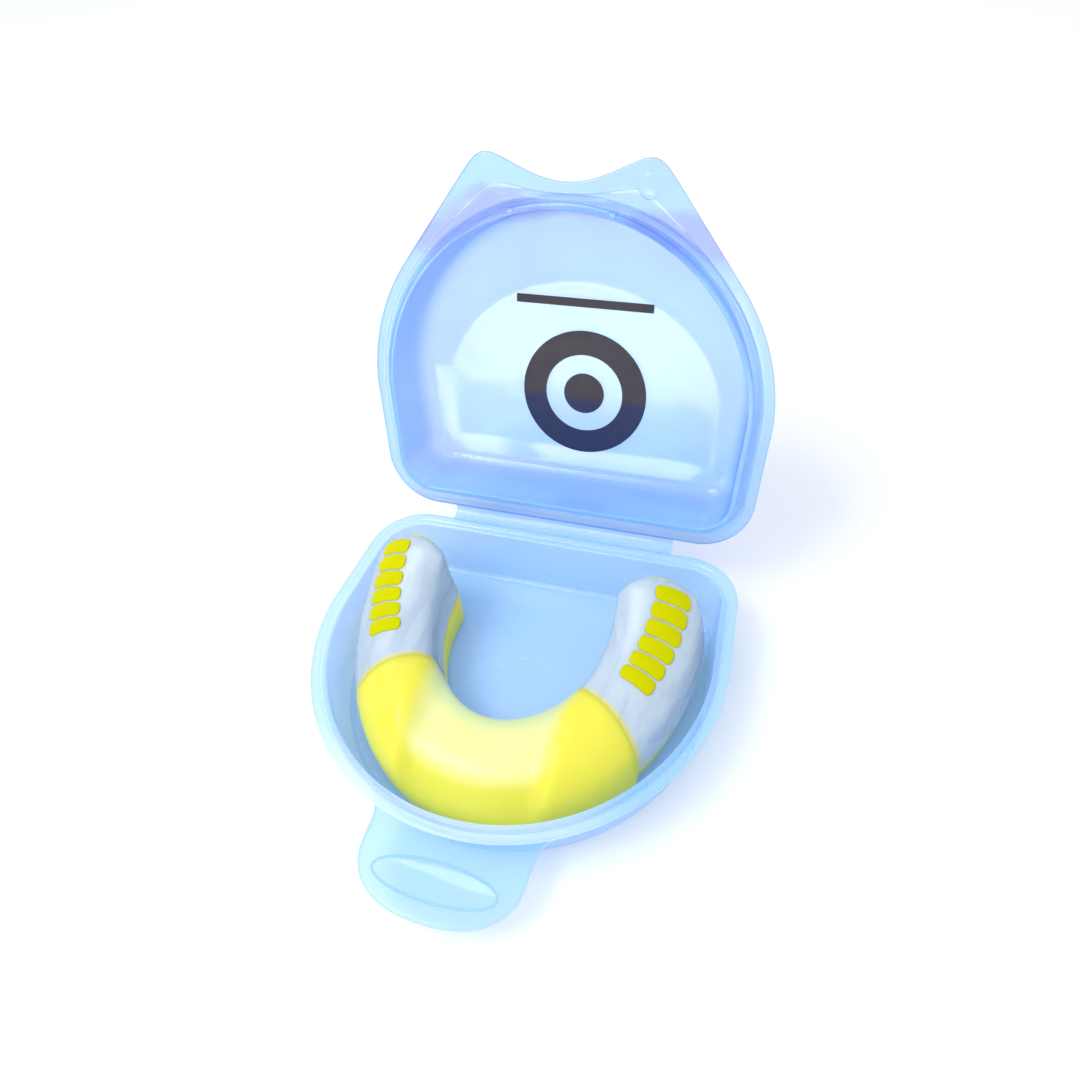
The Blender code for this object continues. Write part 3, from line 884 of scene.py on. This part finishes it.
def core_gel():
    material, tree, shader = principled("core_gel")
    thin_and_highlight = tree.nodes.new("ShaderNodeAttribute")
    thin_and_highlight.attribute_name = "thin_and_highlight"
    inner = tree.nodes.new("ShaderNodeAttribute")
    inner.attribute_name = "inner"
    mottle = noise(tree, 160.0, 4.0)
    deep = mix_colour(tree, mottle, (0.80, 0.735, 0.05, 1.0), (0.85, 0.785, 0.075, 1.0))
    pale = mix_colour(tree, mottle, (0.84, 0.85, 0.30, 1.0), (0.88, 0.89, 0.40, 1.0))
    # Pale on the thin front gel; the same pale also paints the highlight band along the front's
    # outer top edge.
    colour = mix_colour(tree, thin_and_highlight.outputs["Fac"], deep, pale)
    colour = mix_colour(tree, inner.outputs["Fac"], colour, (0.60, 0.70, 0.40, 1.0))
    tree.links.new(colour, shader.inputs["Base Color"])
    shader.inputs["Subsurface Weight"].default_value = 0.7
    shader.inputs["Subsurface Radius"].default_value = (1.0, 0.9, 0.2)
    shader.inputs["Subsurface Scale"].default_value = 0.005
    tree.links.new(spread(tree, mottle, 0.3, 0.7, 0.3, 0.42), shader.inputs["Roughness"])
    bump(tree, shader, noise(tree, 700.0, 3.0), 0.12, 0.0004)
    return material


def cover_gel():
    """Milky silicone, streaked along the arm, that fades into the yellow at its front edge."""
    material, tree, shader = principled("cover_gel")
    streak = noise(tree, 330.0, 2.0, (1.0, 0.22, 1.0))
    milky = mix_colour(tree, spread(tree, streak, 0.35, 0.65, 0.0, 1.0),
                       (0.50, 0.61, 0.74, 1.0), (0.59, 0.70, 0.80, 1.0))
    fade = tree.nodes.new("ShaderNodeAttribute")
    fade.attribute_name = "fade"
    colour = mix_colour(tree, fade.outputs["Fac"], (0.84, 0.80, 0.10, 1.0), milky)
    tree.links.new(colour, shader.inputs["Base Color"])
    facing = node(tree, "ShaderNodeLayerWeight", Blend=0.35).outputs["Facing"]
    dense = node(tree, "ShaderNodeMath", Value=spread(tree, facing, 0.15, 0.9, 0.88, 0.5))
    dense.operation = "MAXIMUM"
    tree.links.new(spread(tree, fade.outputs["Fac"], 0.0, 1.0, 1.0, 0.0), dense.inputs[1])
    tree.links.new(dense.outputs["Value"], shader.inputs["Alpha"])
    shader.inputs["Subsurface Weight"].default_value = 0.4
    shader.inputs["Subsurface Radius"].default_value = (0.8, 0.9, 1.0)
    shader.inputs["Subsurface Scale"].default_value = 0.002
    tree.links.new(spread(tree, streak, 0.3, 0.7, 0.22, 0.36), shader.inputs["Roughness"])
    bump(tree, shader, streak, 0.08, 0.0003)
    return material


def rung_gel():
    material, tree, shader = principled("rung_gel")
    mottle = noise(tree, 400.0, 3.0)
    colour = mix_colour(tree, mottle, (0.56, 0.56, 0.0, 1.0), (0.61, 0.61, 0.0, 1.0))
    tree.links.new(colour, shader.inputs["Base Color"])
    tree.links.new(spread(tree, mottle, 0.3, 0.7, 0.35, 0.5), shader.inputs["Roughness"])
    shader.inputs["Subsurface Weight"].default_value = 0.2
    shader.inputs["Subsurface Radius"].default_value = (1.0, 0.9, 0.1)
    shader.inputs["Subsurface Scale"].default_value = 0.001
    shader.inputs["Specular IOR Level"].default_value = 0.03
    bump(tree, shader, noise(tree, 900.0, 3.0), 0.15, 0.0003)
    return material


def print_ink():
    material, tree, shader = principled("print_ink")
    place = tree.nodes.new("ShaderNodeTexCoord")
    axes = node(tree, "ShaderNodeSeparateXYZ", Vector=place.outputs["Object"])
    height = spread(tree, axes.outputs["Z"], 0.0315, 0.0335, 0.0, 1.0)
    colour = mix_colour(tree, height, (0.006, 0.018, 0.085, 1.0), (0.040, 0.031, 0.043, 1.0))
    tree.links.new(colour, shader.inputs["Base Color"])
    tree.links.new(spread(tree, noise(tree, 300.0), 0.3, 0.7, 0.30, 0.36),
                   shader.inputs["Roughness"])
    shader.inputs["Specular IOR Level"].default_value = 0.2
    return material


# ---------------------------------------------------------------- stage

def make_floor():
    bm = bmesh.new()
    bmesh.ops.create_grid(bm, x_segments=8, y_segments=8, size=1.5)
    material, _, shader = principled("floor_white")
    shader.inputs["Base Color"].default_value = (0.95, 0.95, 0.95, 1.0)
    shader.inputs["Roughness"].default_value = 0.9
    floor = new_object("floor", bm, material)


def make_camera():
    camera = bpy.data.objects.new("camera", bpy.data.cameras.new("camera"))
    bpy.context.scene.collection.objects.link(camera)
    az, el = CAMERA_AZIMUTH, CAMERA_ELEVATION
    back = Vector((math.sin(az) * math.cos(el), -math.cos(az) * math.cos(el), math.sin(el)))
    right = (-back).cross(Vector((0, 0, 1))).normalized()
    up = back.cross(right)
    turned_right = right * math.cos(CAMERA_ROLL) + up * math.sin(CAMERA_ROLL)
    turned_up = up * math.cos(CAMERA_ROLL) - right * math.sin(CAMERA_ROLL)
    axes = Matrix((turned_right, turned_up, back)).transposed()
    camera.matrix_world = Matrix.Translation(LOOK_AT + back * CAMERA_DISTANCE) @ axes.to_4x4()
    camera.data.sensor_width = 36.0
    camera.data.lens = CAMERA_LENS
    camera.data.clip_start = 0.01
    bpy.context.scene.camera = camera


def add_area(name, place, target, size, power):
    light = bpy.data.lights.new(name, "AREA")
    light.shape = "RECTANGLE"
    light.size, light.size_y = size
    light.energy = power
    lamp = bpy.data.objects.new(name, light)
    lamp.location = place
    lamp.rotation_euler = (Vector(target) - Vector(place)).to_track_quat("-Z", "Y").to_euler()
    bpy.context.scene.collection.objects.link(lamp)
    return lamp


def make_light():
    world = bpy.data.worlds.new("studio")
    bpy.context.scene.world = world
    world.use_nodes = True
    background = world.node_tree.nodes["Background"]
    background.inputs["Color"].default_value = WORLD_COLOUR
    background.inputs["Strength"].default_value = WORLD_STRENGTH
    add_area("softbox", SOFTBOX_PLACE, (0.0, 0.0, 0.0), SOFTBOX_SIZE, SOFTBOX_POWER)
    card_target = (CARD_PLACE[0], 0.0, CARD_PLACE[2])
    card = add_area("card", CARD_PLACE, card_target, CARD_SIZE, CARD_POWER)
    card.visible_diffuse = False
    card.visible_camera = False
    bpy.context.scene.view_settings.view_transform = "Standard"


def main():
    case_blue = tray_plastic()
    tray = make_tray(case_blue)
    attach(tray, "base")
    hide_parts("base_shell")
    bead = make_dimple_rim(case_blue)
    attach(bead, "base")
    lid = make_lid(lid_plastic())
    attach(lid, "lid")
    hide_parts("lid_shell")
    make_print(print_ink())
    film = make_hinge(case_blue)
    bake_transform(film)
    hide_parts("hinge_web")
    core = make_core(core_gel())
    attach(core, "guard")
    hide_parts("guard_core")
    milky = cover_gel()
    yellow = rung_gel()
    for side, word in ((-1, "left"), (1, "right")):
        cover = make_cover(side, "arm_cover_" + word, milky)
        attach(cover, "guard")
        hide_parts("guard_cover_" + word)
        for index in range(RUNG_COUNT):
            number = str(index + 1)
            rung = new_object(f"grip_rung_{word}_{number}",
                              loft(rung_rings(side, index, 0.0, LAYER, -RUNG_PROUD)), yellow)
            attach(rung, "guard")
            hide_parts(f"bite_rung_{word}_{number}")
    make_floor()
    make_camera()
    make_light()


main()
